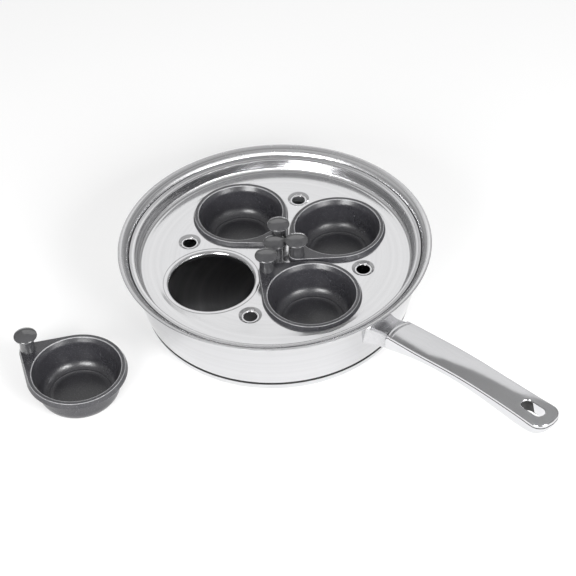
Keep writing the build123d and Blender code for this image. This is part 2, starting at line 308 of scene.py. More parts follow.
# Fine lines along X, as a belt leaves them on the handle
def buildBeltLines():
    group, add, link, given, result = newGroup(
        "beltLines",
        [("Lines per mm", "NodeSocketFloat", 4.0), ("Length mm", "NodeSocketFloat", 30.0),
         ("Streak share", "NodeSocketFloat", 0.15)],
        [("Height", "NodeSocketFloat"), ("Streaks", "NodeSocketFloat")],
    )
    parts = placeParts(add, link)
    frequency = math(add, link, "MULTIPLY", given.outputs["Lines per mm"], perMetre)
    pitch = math(add, link, "DIVIDE", perMetre, given.outputs["Length mm"])
    lines = add("ShaderNodeCombineXYZ")
    link(math(add, link, "MULTIPLY", parts.outputs["X"], pitch), lines.inputs["X"])
    link(math(add, link, "MULTIPLY", parts.outputs["Y"], frequency), lines.inputs["Y"])
    link(math(add, link, "MULTIPLY", parts.outputs["Z"], frequency), lines.inputs["Z"])
    link(lineNoise(add, link, given, result, lines), result.inputs["Streaks"])
    return group


# Soft cloudy smears that handling leaves, as a change of roughness
def buildHandlingMarks():
    group, add, link, given, result = newGroup(
        "handlingMarks",
        [("Base", "NodeSocketFloat", 0.1), ("Spread", "NodeSocketFloat", 0.05),
         ("Size mm", "NodeSocketFloat", 30.0)],
        [("Roughness", "NodeSocketFloat"), ("Mask", "NodeSocketFloat")],
    )
    cloud = objectNoise(add, link, Detail=4.0, Roughness=0.55, Distortion=0.6)
    link(math(add, link, "DIVIDE", perMetre, given.outputs["Size mm"]), cloud.inputs["Scale"])
    mask = add("ShaderNodeMapRange", From_Min=0.35, From_Max=0.68)
    link(cloud.outputs["Fac"], mask.inputs["Value"])
    link(mask.outputs["Result"], result.inputs["Mask"])
    extra = math(add, link, "MULTIPLY", mask.outputs["Result"], given.outputs["Spread"])
    link(math(add, link, "ADD", extra, given.outputs["Base"]), result.inputs["Roughness"])
    return group


# Outer edges, which handling rubs bright
def buildEdgeWear():
    group, add, link, given, result = newGroup(
        "edgeWear",
        [("Start", "NodeSocketFloat", 0.52), ("Full", "NodeSocketFloat", 0.6)],
        [("Mask", "NodeSocketFloat")],
    )
    form = add("ShaderNodeNewGeometry")
    patches = objectNoise(add, link, Scale=180.0, Detail=3.0)
    edge = add("ShaderNodeMapRange")
    link(form.outputs["Pointiness"], edge.inputs["Value"])
    link(given.outputs["Start"], edge.inputs["From Min"])
    link(given.outputs["Full"], edge.inputs["From Max"])
    link(math(add, link, "MULTIPLY", edge.outputs["Result"], patches.outputs["Fac"]), result.inputs["Mask"])
    return group


# Painted shade: the colour darkens by ambient occlusion in narrow gaps and joints, where polish and light do
# not reach
def buildGapShade():
    group, add, link, given, result = newGroup(
        "gapShade",
        [("Reach mm", "NodeSocketFloat", 1.2), ("Open", "NodeSocketFloat", 0.8),
         ("Closed", "NodeSocketFloat", 0.3)],
        [("Mask", "NodeSocketFloat")],
    )
    shade = add("ShaderNodeAmbientOcclusion", samples=8)
    link(math(add, link, "MULTIPLY", given.outputs["Reach mm"], mm), shade.inputs["Distance"])
    mask = add("ShaderNodeMapRange")
    link(shade.outputs["AO"], mask.inputs["Value"])
    link(given.outputs["Open"], mask.inputs["From Min"])
    link(given.outputs["Closed"], mask.inputs["From Max"])
    link(mask.outputs["Result"], result.inputs["Mask"])
    return group


turnedLines = buildTurnedLines()
gapShade = buildGapShade()
beltLines = buildBeltLines()
handlingMarks = buildHandlingMarks()
edgeWear = buildEdgeWear()
print("finish groups ready")


def newMaterial(name):
    material = bpy.data.materials.new(name)
    material.use_nodes = True
    tree = material.node_tree
    add, link = nodeTools(tree)
    shader = tree.nodes["Principled BSDF"]
    return material, add, link, shader


def placeGroup(add, group, **values):
    node = add("ShaderNodeGroup", node_tree=group)
    for key, value in values.items():
        node.inputs[key.replace("_", " ")].default_value = value
    return node


# Two colors mixed by a mask; the plain one may be another node's output
def blended(add, link, mask, plain, marked):
    mix = add("ShaderNodeMix", data_type="RGBA")
    if hasattr(plain, "is_output"):
        link(plain, mix.inputs["A"])
    else:
        mix.inputs["A"].default_value = (*plain, 1)
    mix.inputs["B"].default_value = (*marked, 1)
    link(mask, mix.inputs["Factor"])
    return mix.outputs["Result"]


def smeared(add, link, shader, **values):
    smears = placeGroup(add, handlingMarks, **values)
    link(smears.outputs["Roughness"], shader.inputs["Roughness"])


def bumped(add, link, shader, height, strength, distance):
    bump = add("ShaderNodeBump", Strength=strength, Distance=distance)
    link(height, bump.inputs["Height"])
    link(bump.outputs["Normal"], shader.inputs["Normal"])


# lines is in lines per millimetre, gap the reach in millimetres of the painted shade in gaps and joints
steelFinish = {
    "pan": {"color": (0.63, 0.63, 0.64), "streak": (0.60, 0.60, 0.61), "rough": 0.07, "smear": 0.03,
            "lines": 2.5, "relief": 0.12, "gap": 1.0},
    "lip": {"color": (0.84, 0.84, 0.85), "streak": (0.50, 0.50, 0.51), "rough": 0.24, "smear": 0.04,
            "lines": 0.9, "relief": 3.0, "gap": 1.2, "streakShare": 0.8, "stretch": 0.7},
    # inside: coarser satin steel of the pan's inside and the sheet's cut edges; its darker colour is painted
    # shade for the pan's inside under the tray
    "inside": {"color": (0.45, 0.45, 0.46), "streak": (0.38, 0.38, 0.39), "rough": 0.42, "smear": 0.05,
               "lines": 2.0, "relief": 0.2, "gap": 1.0},
    # seam: dark steel painted where there is only shade: the seam over the base cap, the handle's seam and
    # the slot's deep end
    "seam": {"color": (0.05, 0.05, 0.05), "streak": (0.03, 0.03, 0.03), "rough": 0.5, "smear": 0.1,
             "lines": 2.0, "relief": 0.2, "gap": 1.0},
    "tray": {"color": (0.75, 0.75, 0.76), "streak": (0.72, 0.72, 0.73), "rough": 0.15, "smear": 0.03,
             "lines": 3.0, "relief": 0.12, "gap": 1.6},
    "handle": {"color": (0.67, 0.67, 0.685), "streak": (0.63, 0.63, 0.64), "rough": 0.09, "smear": 0.03,
               "lines": 4.0, "relief": 0.2, "gap": 1.5},
    # the bracket's longer reach paints shade where it meets the lip, the wall and the handle's root
    "bracket": {"color": (0.62, 0.62, 0.63), "streak": (0.58, 0.58, 0.59), "rough": 0.24, "smear": 0.03,
                "lines": 2.5, "relief": 0.12, "gap": 3.0},
}
# colour of the painted shade in gaps and joints
gapShadeColor = (0.06, 0.06, 0.06)
grainDepth = 0.00002      # metres


def makeSteel(name, look, lines):
    material, add, link, shader = newMaterial(name)
    shader.inputs["Metallic"].default_value = 1.0
    grain = placeGroup(add, lines, Lines_per_mm=look["lines"])
    if "streakShare" in look:
        grain.inputs["Streak share"].default_value = look["streakShare"]
    if "stretch" in look:
        shader.inputs["Anisotropic"].default_value = look["stretch"]
        along = add("ShaderNodeTangent", direction_type="RADIAL", axis="Z")
        link(along.outputs["Tangent"], shader.inputs["Tangent"])
    # painted shade: the colour goes dark where ambient occlusion finds a narrow gap or joint
    gap = placeGroup(add, gapShade, Reach_mm=look["gap"])
    color = blended(add, link, grain.outputs["Streaks"], look["color"], look["streak"])
    link(blended(add, link, gap.outputs["Mask"], color, gapShadeColor), shader.inputs["Base Color"])
    smeared(add, link, shader, Base=look["rough"], Spread=look["smear"])
    bumped(add, link, shader, grain.outputs["Height"], look["relief"], grainDepth)
    return material


panSteel = makeSteel("panSteel", steelFinish["pan"], turnedLines)
lipSteel = makeSteel("lipSteel", steelFinish["lip"], turnedLines)
shadedInsideSteel = makeSteel("shadedInsideSteel", steelFinish["inside"], turnedLines)
# dark steel that stands in for shade in seams and deep recesses
paintedShadeSteel = makeSteel("paintedShadeSteel", steelFinish["seam"], turnedLines)
traySteel = makeSteel("traySteel", steelFinish["tray"], turnedLines)
bracketSteel = makeSteel("bracketSteel", steelFinish["bracket"], turnedLines)
handleSteel = makeSteel("handleSteel", steelFinish["handle"], beltLines)

coatingFinish = {
    "color": (0.0235, 0.023, 0.027),
    "speck": (0.10, 0.10, 0.11),
    "worn": (0.09, 0.09, 0.095),
    "rough": 0.27,
    "smear": 0.04,
    "specular": 0.9,
    "wornHighlight": (0.36, 0.36, 0.37),   # rim edges: coating worn thin, lightened further as a painted highlight
    "speckScale": 1400.0,
    "speckStart": 0.56,
    "speckFull": 0.70,
    "relief": 0.35,
    "reliefDepth": 0.0001,          # metres
}


def makeCoating():
    look = coatingFinish
    material, add, link, shader = newMaterial("cupCoating")
    specks = objectNoise(add, link, Scale=look["speckScale"], Detail=2.0, Roughness=0.6)
    speckMask = add("ShaderNodeMapRange", From_Min=look["speckStart"], From_Max=look["speckFull"])
    link(specks.outputs["Fac"], speckMask.inputs["Value"])
    wear = placeGroup(add, edgeWear)
    color = blended(add, link, speckMask.outputs["Result"], look["color"], look["speck"])
    link(blended(add, link, wear.outputs["Mask"], color, look["worn"]), shader.inputs["Base Color"])
    smeared(add, link, shader, Base=look["rough"], Spread=look["smear"])
    bumped(add, link, shader, specks.outputs["Fac"], look["relief"], look["reliefDepth"])
    shader.inputs["Specular IOR Level"].default_value = look["specular"]
    return material


# Light edge band: worn coating, lightened further as a painted highlight
wornHighlightFinish = {
    "patchScale": 700.0,
    "patchStart": 0.3,
    "patchFull": 0.62,
    "dim": 0.7,            # the patches' share of the worn, highlight-painted color
    "rough": 0.3,
    "smear": 0.1,
    "smearSize": 5.0,
}


def makeWornHighlightEdge(name, wornHighlight):
    look = wornHighlightFinish
    material, add, link, shader = newMaterial(name)
    patches = objectNoise(add, link, Scale=look["patchScale"], Detail=3.0)
    mask = add("ShaderNodeMapRange", From_Min=look["patchStart"], From_Max=look["patchFull"])
    link(patches.outputs["Fac"], mask.inputs["Value"])
    dim = tuple(look["dim"] * value for value in wornHighlight)
    link(blended(add, link, mask.outputs["Result"], wornHighlight, dim), shader.inputs["Base Color"])
    smeared(add, link, shader, Base=look["rough"], Spread=look["smear"], Size_mm=look["smearSize"])
    return material


knobFinish = {
    "color": (0.050, 0.050, 0.053),
    "worn": (0.07, 0.07, 0.072),
    "rough": 0.08,
    "smear": 0.05,
    "smearSize": 6.0,
    # light band round the cap's edge: a painted highlight
    "wornHighlight": (0.36, 0.36, 0.37),
    "rippleScale": 900.0,
    "relief": 0.05,
    "reliefDepth": 0.00005,
    "index": 1.6,
    "coat": 1.0,
    "coatRough": 0.05,
}


def makePhenolic():
    look = knobFinish
    material, add, link, shader = newMaterial("knobPhenolic")
    wear = placeGroup(add, edgeWear)
    link(blended(add, link, wear.outputs["Mask"], look["color"], look["worn"]), shader.inputs["Base Color"])
    smeared(add, link, shader, Base=look["rough"], Spread=look["smear"], Size_mm=look["smearSize"])
    ripple = objectNoise(add, link, Scale=look["rippleScale"], Detail=2.0)
    bumped(add, link, shader, ripple.outputs["Fac"], look["relief"], look["reliefDepth"])
    shader.inputs["IOR"].default_value = look["index"]
    shader.inputs["Coat Weight"].default_value = look["coat"]
    shader.inputs["Coat Roughness"].default_value = look["coatRough"]
    return material


# Machined metal of the hidden fittings
fittingFinish = {
    "coreAluminium": {"color": (0.75, 0.76, 0.77), "worn": (0.85, 0.85, 0.86), "rough": 0.35},
    "insertBrass": {"color": (0.72, 0.55, 0.28), "worn": (0.85, 0.70, 0.42), "rough": 0.28},
    "screwSteel": {"color": (0.58, 0.58, 0.60), "worn": (0.75, 0.75, 0.76), "rough": 0.30},
}
fittingSmear = 0.1
fittingSmearSize = 4.0


def makeMachined(name):
    look = fittingFinish[name]
    material, add, link, shader = newMaterial(name)
    shader.inputs["Metallic"].default_value = 1.0
    wear = placeGroup(add, edgeWear)
    link(blended(add, link, wear.outputs["Mask"], look["color"], look["worn"]), shader.inputs["Base Color"])
    smeared(add, link, shader, Base=look["rough"], Spread=fittingSmear, Size_mm=fittingSmearSize)
    return material


cupCoating = makeCoating()
knobPhenolic = makePhenolic()
wornHighlightEdge = makeWornHighlightEdge("wornHighlightEdge", coatingFinish["wornHighlight"])
knobEdgeHighlight = makeWornHighlightEdge("knobEdgeHighlight", knobFinish["wornHighlight"])
coreAluminium = makeMachined("coreAluminium")
insertBrass = makeMachined("insertBrass")
screwSteel = makeMachined("screwSteel")
print("materials ready")


def dressNode(name, material):
    mesh = nodes[name].data
    mesh.materials.clear()
    mesh.materials.append(material)


# The pan and its base, in millimetres
pan = {
    "sheet": 0.9,
    "flareReach": 7.6,
    "flareHeight": 6.9,
    "wallDraft": 9.1,
    "wallBulge": 0.8,
    "footHeight": 14.2,
    "joggleHeight": 13.05,
    "seamStep": 1.05,      # from the stepped-in foot out to the wall
    "cornerShare": 1.2,
    "floorHeight": 6.5,
    "capSheet": 0.5,
    "capStep": 0.5,        # the wall stands out past the base cap by this
    "capCorner": 12.4,
    "capEdge": 13.0,
    "capJointShadeWidth": 1.1,     # painted shade: dark band where the cap is joined under the wall
    "lipFinish": 57.5,     # above this height the lip's coarser turned finish
    "wallSteps": 16,
    "flareSteps": 14,
    "heelSteps": 24,
    "inwardLimit": -0.02,  # faces that look in at the axis by more than this take the inside finish
    "floorTilt": 0.5,      # and so do those that look up by more than this
    "facets": 256,
}

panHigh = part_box("pan_body")[1]
lipRadius = panHigh.x / mm
lipHeight = panHigh.z / mm


def buildPan():
    top = lipHeight - pan["sheet"]
    wallTop = (lipRadius - pan["flareReach"], top - pan["flareHeight"])
    wallFoot = (wallTop[0] - pan["wallDraft"], pan["footHeight"])
    joggle = (wallFoot[0] - pan["seamStep"], pan["joggleHeight"])
    floorReach = joggle[0] - pan["cornerShare"] * (joggle[1] - pan["floorHeight"])
    floor = straight((0, pan["floorHeight"]), (floorReach, pan["floorHeight"]))
    corner = tangentArc(floor[-1], (1, 0), joggle)
    step = straight(joggle, wallFoot)
    wall = bowedArc(wallFoot, wallTop, pan["wallBulge"], pan["wallSteps"])
    lean = (wall[-1][0] - wall[-2][0], wall[-1][1] - wall[-2][1])
    flare = tangentArc(wallTop, lean, (lipRadius - pan["sheet"] / 2, top), pan["flareSteps"])
    outline = sheetOutline(joined(floor, corner, step, wall, flare), pan["sheet"])
    mesh = latheMesh("panBody", outline, pan["facets"])
    body = newPiece("panBody", mesh, [panSteel, lipSteel, shadedInsideSteel, paintedShadeSteel])
    for face in body.data.polygons:
        outward = face.normal.x * face.center.x + face.normal.y * face.center.y
        if hypot(face.center.x, face.center.y) > (lipRadius - pan["sheet"] / 2) * mm:
            face.material_index = 2      # cut edge of the sheet
        elif face.center.z > pan["lipFinish"] * mm:
            face.material_index = 1
        # painted shade: the outside below the wall's foot is dark like the shaded seam over the base cap
        elif face.center.z < wallFoot[1] * mm and outward > 0:
            face.material_index = 3
        # painted shade: the pan's inside takes the darker satin steel
        elif outward < pan["inwardLimit"] or face.normal.z > pan["floorTilt"]:
            face.material_index = 2
    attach(body, "pan")
    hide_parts("pan_body")

    capRadius = wallFoot[0] - pan["capStep"]
    underside = straight((0, 0), (capRadius - pan["capCorner"], 0))
    heel = tangentArc(underside[-1], (1, 0), (capRadius, pan["capCorner"]), pan["heelSteps"])
    edge = straight(heel[-1], (capRadius, pan["capEdge"]))
    outline = sheetOutline(joined(underside, heel, edge), pan["capSheet"])
    cap = newPiece("baseCap", latheMesh("baseCap", outline, pan["facets"]), [panSteel, paintedShadeSteel])
    for face in cap.data.polygons:
        # painted shade along the joint under the wall
        if face.center.z > (pan["capEdge"] - pan["capJointShadeWidth"]) * mm:
            face.material_index = 1
    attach(cap, "pan")
    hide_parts("base_cap")


buildPan()
dressNode("base_core", coreAluminium)
print("pan and base built")


# The lift-out tray, in millimetres and degrees
tray = {
    "sheet": 0.8,
    "rimHeight": 60.6,
    "flangeFall": 1.0,
    "depth": 10.1,
    "lean": 2.2,
    "lipBand": 13.2,
    "foldRound": 4.5,
    "crestRound": 1.0,
    "holes": 4,
    "holeRadius": 34.8,
    "holePitch": 58.62,
    "firstHole": 257.3,
    "collarDrop": 2.9,
    "collarBend": 1.9,
    "collarLand": 1.6,
    "grooveDepth": 0.16,     # fine line pressed round each hole
    "grooveStep": 0.32,
    "ventRadius": 5.85,
    "ventPitch": 73.02,
    "dishRadius": 9.4,
    "dishDepth": 1.25,
    "dishLip": 0.8,
    "dishFloor": 1.3,
    "dishBend": 1.2,
    "facets": 256,
    "holeFacets": 128,
    "ventFacets": 64,
}


# Sheet outline turned about a hole, open at its first end, where the flat plate joins it
def addRing(build, line, center, count):
    angles = evenAngles(count)
    outline = sheetOutline(line, -tray["sheet"])
    addLathe(build, outline, angles, center)
    return circle(*outline[0], angles, center), circle(*outline[-1], angles, center)


def buildTray():
    build = bmesh.new()
    crest = tray["rimHeight"] - tray["flangeFall"]
    plate = crest - tray["depth"]
    crestRadius = lipRadius - tray["lipBand"]
    foldRadius = crestRadius - tray["lean"]
    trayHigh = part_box("poacher_plate")[1].x / mm - tray["sheet"] / 2
    rim = rounded(
        [(foldRadius - 2 * tray["foldRound"], plate), (foldRadius, plate), (crestRadius, crest),
         (trayHigh, tray["rimHeight"])],
        [tray["foldRound"], tray["crestRound"]],
    )
    outer = addRing(build, rim, (0, 0), tray["facets"])
    holes = []
    turn = 360 / tray["holes"]
    for index in range(tray["holes"]):
        angle = radians(tray["firstHole"] + turn * index)
        center = (tray["holePitch"] * cos(angle), tray["holePitch"] * sin(angle))
        land = tray["holeRadius"] + tray["collarBend"] + tray["collarLand"]
        step = tray["grooveStep"]
        collar = [(land + 3 * step, plate), (land + 2 * step, plate),
                  (land + step, plate - tray["grooveDepth"])]
        collar += rounded(
            [(land, plate), (tray["holeRadius"], plate), (tray["holeRadius"], plate - tray["collarDrop"])],
            [tray["collarBend"]],
        )
        holes.append(addRing(build, collar, center, tray["holeFacets"]))
        angle += radians(turn / 2)
        center = (tray["ventPitch"] * cos(angle), tray["ventPitch"] * sin(angle))
        dish = plate - tray["dishDepth"]
        vent = rounded(
            [(tray["dishRadius"] + tray["dishLip"], plate), (tray["dishRadius"], plate),
             (tray["ventRadius"] + tray["dishFloor"], dish), (tray["ventRadius"], dish)],
            [tray["dishBend"], tray["dishFloor"] / 2],
        )
        holes.append(addRing(build, vent, center, tray["ventFacets"]))
    for side in (0, 1):
        addPlate(build, outer[side], [hole[side] for hole in holes])
    piece = newPiece("poachingTray", finishMesh("poachingTray", build), [traySteel, lipSteel, shadedInsideSteel])
    for face in piece.data.polygons:
        reach = hypot(face.center.x, face.center.y) / mm
        if reach > trayHigh:
            face.material_index = 2      # cut edge of the sheet
        elif reach > foldRadius - tray["foldRound"] / 2:
            face.material_index = 1
    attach(piece, "tray")
    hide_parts("poacher_plate")


buildTray()
print("tray built")


# The egg cups, in millimetres
cup = {
    "clearance": 0.4,
    "wall": 1.6,
    "drop": 24.6,
    "corner": 12.0,
    "draft": 3.4,
    "rimHeight": 4.2,
    "rimOverlap": 4.9,
    "rimBevel": 1.6,
    "mouthFlare": 2.3,
    "mouthRound": 8.0,
    "mouthDepth": 4.5,
    "edgeRound": 0.45,
    "tabOverhang": 6.9,
    "tabRadius": 7.45,
    "tabBevel": 0.9,
    "ridgeRadius": 24.2,      # faint ridge where the wall's round meets the floor
    "poleRing": 5.0,
    "ridgeHeight": 0.30,
    "ridgeWidth": 0.9,
    "wornHighlightInner": 0.6,       # how far the worn, highlight-painted edges reach from the rim's corners
    "wornHighlightOuter": 0.4,
    "recessRadius": 4.3,      # room for the screw's head under the tab
    "recessDepth": 2.3,
    "ridgeSteps": 12,
    "ridgeEase": 1.2,
    "insideSteps": 20,
    "rimSteps": 6,
    "outsideSteps": 14,
    "recessFacets": 32,
}
rimRadius = tray["holeRadius"] + cup["rimOverlap"]
tabReach = rimRadius + cup["tabOverhang"]


# How far the outline of the rim and tab reaches from the cup's axis at an angle
def outlineReach(angle, rim, tab):
    lean = acos((rim - tab) / tabReach)
    angle = abs((angle + pi) % (2 * pi) - pi)
    if angle >= lean:
        return rim
    if angle <= atan2(tab * sin(lean), tabReach + tab * cos(lean)):
        return tabReach * cos(angle) + sqrt(tab ** 2 - (tabReach * sin(angle)) ** 2)
    return rim / cos(angle - lean)


# Closer together where the tab turns
def cupAngles():
    fine, coarse, reach = radians(0.75), radians(2.5), radians(18)
    angles = [-reach + fine * i for i in range(round(2 * reach / fine))]
    rest = 2 * pi - 2 * reach
    count = round(rest / coarse)
    return angles + [reach + rest * i / count for i in range(count)]


# The outline with a small round ridge at a radius
def withRidge(line, radius, height, width, steps, ease):
    before = [point for point in line if point[0] < radius - width]
    after = [point for point in line if point[0] > radius + width]
    start, end = before[-1], after[0]
    ridge = []
    for i in range(steps + 1):
        r = radius - width + 2 * width * i / steps
        z = start[1] + (end[1] - start[1]) * ((r - start[0]) / (end[0] - start[0])) ** ease
        ridge.append((r, z + height * (1 + cos(pi * (r - radius) / width)) / 2))
    return before + ridge + after


def buildCupMesh():
    build = bmesh.new()
    angles = cupAngles()
    outer = tray["holeRadius"] - cup["clearance"]
    corner = outer - cup["draft"]
    wall = outer - cup["wall"]
    floor = cup["wall"] - cup["drop"]
    mouthLow = cup["rimHeight"] - cup["mouthDepth"]
    mouthHigh = (wall + cup["mouthFlare"], cup["rimHeight"])
    mouthFoot = (wall, mouthLow)
    inside = rounded([(0, floor), (corner - cup["wall"], floor), mouthFoot, mouthHigh],
                     [cup["corner"] - cup["wall"], cup["mouthRound"]], cup["insideSteps"])
    inside = withRidge(inside, cup["ridgeRadius"], cup["ridgeHeight"], cup["ridgeWidth"],
                       cup["ridgeSteps"], cup["ridgeEase"])
    inside[1] = (cup["poleRing"], floor)
    rings = [circle(r, z, angles) for r, z in inside[1:-2]]
    # the rim's top, bevel and foot follow the outline of the rim and tab
    columns = []
    for angle in angles:
        low = outlineReach(angle, rimRadius, cup["tabRadius"])
        high = outlineReach(angle, rimRadius - cup["rimBevel"], cup["tabRadius"] - cup["tabBevel"])
        profile = rounded(
            [inside[-3], mouthHigh, (high, cup["rimHeight"]), (low, 0), (low - 3 * cup["edgeRound"], 0)],
            [cup["edgeRound"], cup["edgeRound"], cup["edgeRound"] / 2], cup["rimSteps"],
        )
        columns.append([(r * cos(angle), r * sin(angle), z) for r, z in profile])
    rim = [list(ring) for ring in zip(*columns)]
    # the profile on the round side tells which rows are the worn edges with the painted highlight
    bevelTop = (rimRadius - cup["rimBevel"], cup["rimHeight"])
    corners = ((mouthHigh, cup["wornHighlightInner"]), (bevelTop, cup["wornHighlightOuter"]))
    farSide = len(columns) // 2 + 12
    profile = [(hypot(x, y), z) for x, y, z in columns[farSide]]
    wornHighlight = set()
    for point, reach in corners:
        near = [hypot(r - point[0], z - point[1]) < reach for r, z in profile]
        wornHighlight.update(len(rings) + i - 1 for i in range(len(near) - 1) if near[i] and near[i + 1])
    grid = addRows(build, rings + rim[1:], closed=True, marked=wornHighlight)
    addPole(build, grid[0], (0, 0, inside[0][1]))
    bottom = -cup["drop"]
    outside = rounded([(outer, 0), (corner, bottom), (0, bottom)], [cup["corner"]], cup["outsideSteps"])
    addLathe(build, outside, angles)
    recessAngles = evenAngles(cup["recessFacets"])
    recess = circle(cup["recessRadius"], 0, recessAngles, (tabReach, 0))
    addPlate(build, rim[-1], [circle(outer, 0, angles), recess])
    hollow = straight((cup["recessRadius"], 0), (cup["recessRadius"], cup["recessDepth"]))
    hollow += straight(hollow[-1], (0, cup["recessDepth"]))[1:]
    addLathe(build, hollow, recessAngles, (tabReach, 0))
    return finishMesh("eggCup", build)


# The cup's axis, from its box: the tab stands out of the round rim on one side only
def cupPlace(name):
    low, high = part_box(name)
    knobLow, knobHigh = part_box(name + "_knob")
    knobCenter = (knobLow + knobHigh) / 2
    middle = (low + high) / 2
    x = low.x + rimRadius * mm if knobCenter.x > middle.x else high.x - rimRadius * mm
    y = low.y + rimRadius * mm if knobCenter.y > middle.y else high.y - rimRadius * mm
    place = Vector((x, y, low.z + cup["drop"] * mm))
    return place, atan2(knobCenter.y - y, knobCenter.x - x)


def buildCups():
    plain = buildCupMesh()
    plain.materials.append(cupCoating)
    plain.materials.append(wornHighlightEdge)
    for name in ("cup_1", "cup_2", "cup_3", "loose_cup"):
        place, turn = cupPlace(name)
        mesh = plain.copy()
        mesh.transform(Matrix.Rotation(turn, 4, "Z"))
        piece = newPiece("egg" + name.title().replace("_", ""), mesh, place=place)
        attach(piece, name + "_body")
        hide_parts(name)
    bpy.data.meshes.remove(plain)


buildCups()
print("cups built")


# The knobs, in millimetres
knob = {
    "foot": 6.2,
    "waist": 5.85,
    "neck": 6.1,
    "neckHeight": 12.0,
    "cap": 9.3,
    "undersideRise": 1.7,
    "rimThickness": 1.3,
    "rimWidth": 0.35,
    "dome": 2.5,
    "highlightLow": 0.12,      # band of the cap's edge, above its underside, lightened as a painted highlight
    "highlightHigh": 0.62,
    "edgeRound": 0.3,
    "capRound": 0.6,
    "domeStart": 0.4,       # the dome ends this share of the edge's round past the cap's corner
    "footRound": 0.3,
    "postLean": -0.07,
    "neckBulge": -0.03,
    "footSteps": 4,
    "postSteps": 6,
    "capSteps": 5,
    "domeSteps": 24,
    "facets": 96,
}


def buildKnobMesh():
    capLow = knob["neckHeight"] + knob["undersideRise"]
    capHigh = capLow + knob["rimThickness"]
    top = capHigh + knob["dome"]
    edge = knob["cap"] - knob["rimWidth"]
    tilt = 2 * atan2(knob["dome"], edge)
    step = knob["domeStart"] * knob["edgeRound"]
    start = (edge - step, capHigh + step * sin(tilt))
    foot = straight((0, 0), (knob["foot"] - knob["footRound"], 0))
    postFoot = (knob["foot"], knob["footRound"])
    footRound = tangentArc(foot[-1], (1, 0), postFoot, knob["footSteps"])
    waist = (knob["waist"], knob["neckHeight"] / 2)
    post = tangentArc(postFoot, (knob["postLean"], 1), waist, knob["postSteps"])
    neck = bowedArc(post[-1], (knob["neck"], knob["neckHeight"]), knob["neckBulge"], knob["postSteps"])
    under = rounded([neck[-1], (edge, capLow), (knob["cap"], (capLow + capHigh) / 2), (edge, capHigh)],
                    [knob["edgeRound"], knob["capRound"]], knob["capSteps"])
    dome = tangentArc((0, top), (1, 0), start, knob["domeSteps"])[::-1]
    outline = foot[:-1] + footRound + post[1:] + neck[1:] + under[1:] + dome
    mesh = latheMesh("knob", outline, knob["facets"])
    for face in mesh.polygons:
        # painted highlight: a light band round the cap's edge
        if capLow + knob["highlightLow"] < face.center.z / mm < capLow + knob["highlightHigh"]:
            face.material_index = 1
    return mesh


def buildKnobs():
    mesh = buildKnobMesh()
    mesh.materials.append(knobPhenolic)
    mesh.materials.append(knobEdgeHighlight)
    for owner, body in (("cup_1", "cup_1_body"), ("cup_2", "cup_2_body"), ("cup_3", "cup_3_body"),
                        ("loose_cup", "loose_cup_body"), ("plate", "tray")):
        low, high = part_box(owner + "_knob")
        place = ((low.x + high.x) / 2, (low.y + high.y) / 2, low.z)
        piece = newPiece("knobOn" + owner.title().replace("_", ""), mesh, place=place)
        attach(piece, body)
        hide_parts(owner + "_knob")


buildKnobs()
for name in nodes:
    if name.endswith("_screw"):
        dressNode(name, screwSteel)
    elif name.endswith("_insert"):
        dressNode(name, insertBrass)
print("knobs built")


# Shares of the handle's length, half-width, rise and depth, from its root to its end
stationShares = [
    (0.000, 0.920, 0.000, 1.000), (0.085, 0.950, 0.130, 0.820), (0.215, 0.970, 0.325, 0.590),
    (0.345, 0.960, 0.545, 0.540), (0.475, 0.935, 0.720, 0.565), (0.605, 0.920, 0.820, 0.640),
    (0.735, 0.930, 0.890, 0.755), (0.855, 0.960, 0.940, 0.810), (0.930, 1.000, 0.970, 0.710),
    (1.020, 1.000, 1.000, 0.360),
]
handle = {
    "halfWidth": 12.4,
    "rootDrop": 3.0,
    "rise": 13.8,
    "depth": 17.7,
    "sheet": 1.2,
    "crown": 0.55,
    "topRound": 1.6,
    "lowRound": 4.4,
    "seamDrop": 2.6,
    "seamRound": 0.45,
    # width of the band along the seam that is painted dark as shade
    "seamShadeBand": 0.4,
    "rootBow": 2.5,          # the root edge of the top bows towards the pan
    "rootRoll": 3.0,
    "rootGroove": 0.3,
    "grooveAt": 5.0,
    "noseCorner": 9.0,
    "noseBulge": 0.5,
    "slotLength": 19.0,
    "slotWidth": 9.0,
    "slotToEnd": 18.5,
    "slotRound": 0.9,
    "slotFlare": 2.9,        # the slot's wall opens out to the underside
    "stations": 44,
    "rootSteps": [0, 0.03, 0.1, 0.25, 0.5, 0.8, 1.2, 1.7, 2.3, 2.9, 3.6, 4.2, 4.45, 4.65, 4.82, 5.0, 5.18,
                  5.35, 5.55, 5.8, 6.4],
    "columns": 14,
    "grooveWidth": 0.5,
    "rootLip": [(0.3, 0.985, 0.2), (0, 0.955, 0.55)],   # the sheet's edge: back, narrower and down
    "bowReach": 30.0,        # the root's bow fades out over this length
    "seamLand": 0.15,
    "seamGap": 0.02,
    "slotLand": 0.3,
    "flareStep": 0.3,        # the flare's last ring reaches this far out
    "flareLift": 0.6,
    "flareGap": 0.35,
    "slotSpan": 20.0,        # the faces' plain grid ends this far before the slot's middle
    "slotRings": 7,
    "slotEase": 1.4,
    "shadeHalf": (13.0, 8.0),  # the slot's shaded wall: half its length and width,
    "shadeBelow": 1.3,         # how far it starts below the top,
    "shadeFrom": 4.5,          # and how far from the slot's middle
    "edgeSteps": 8,
    "seamSteps": 4,
    "lowSteps": 10,
    "slotSteps": 6,
    "noseSteps": 12,
}
handleLow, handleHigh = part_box("handle_upper_shell")
handleStart = handleLow.x / mm
handleEnd = handleHigh.x / mm


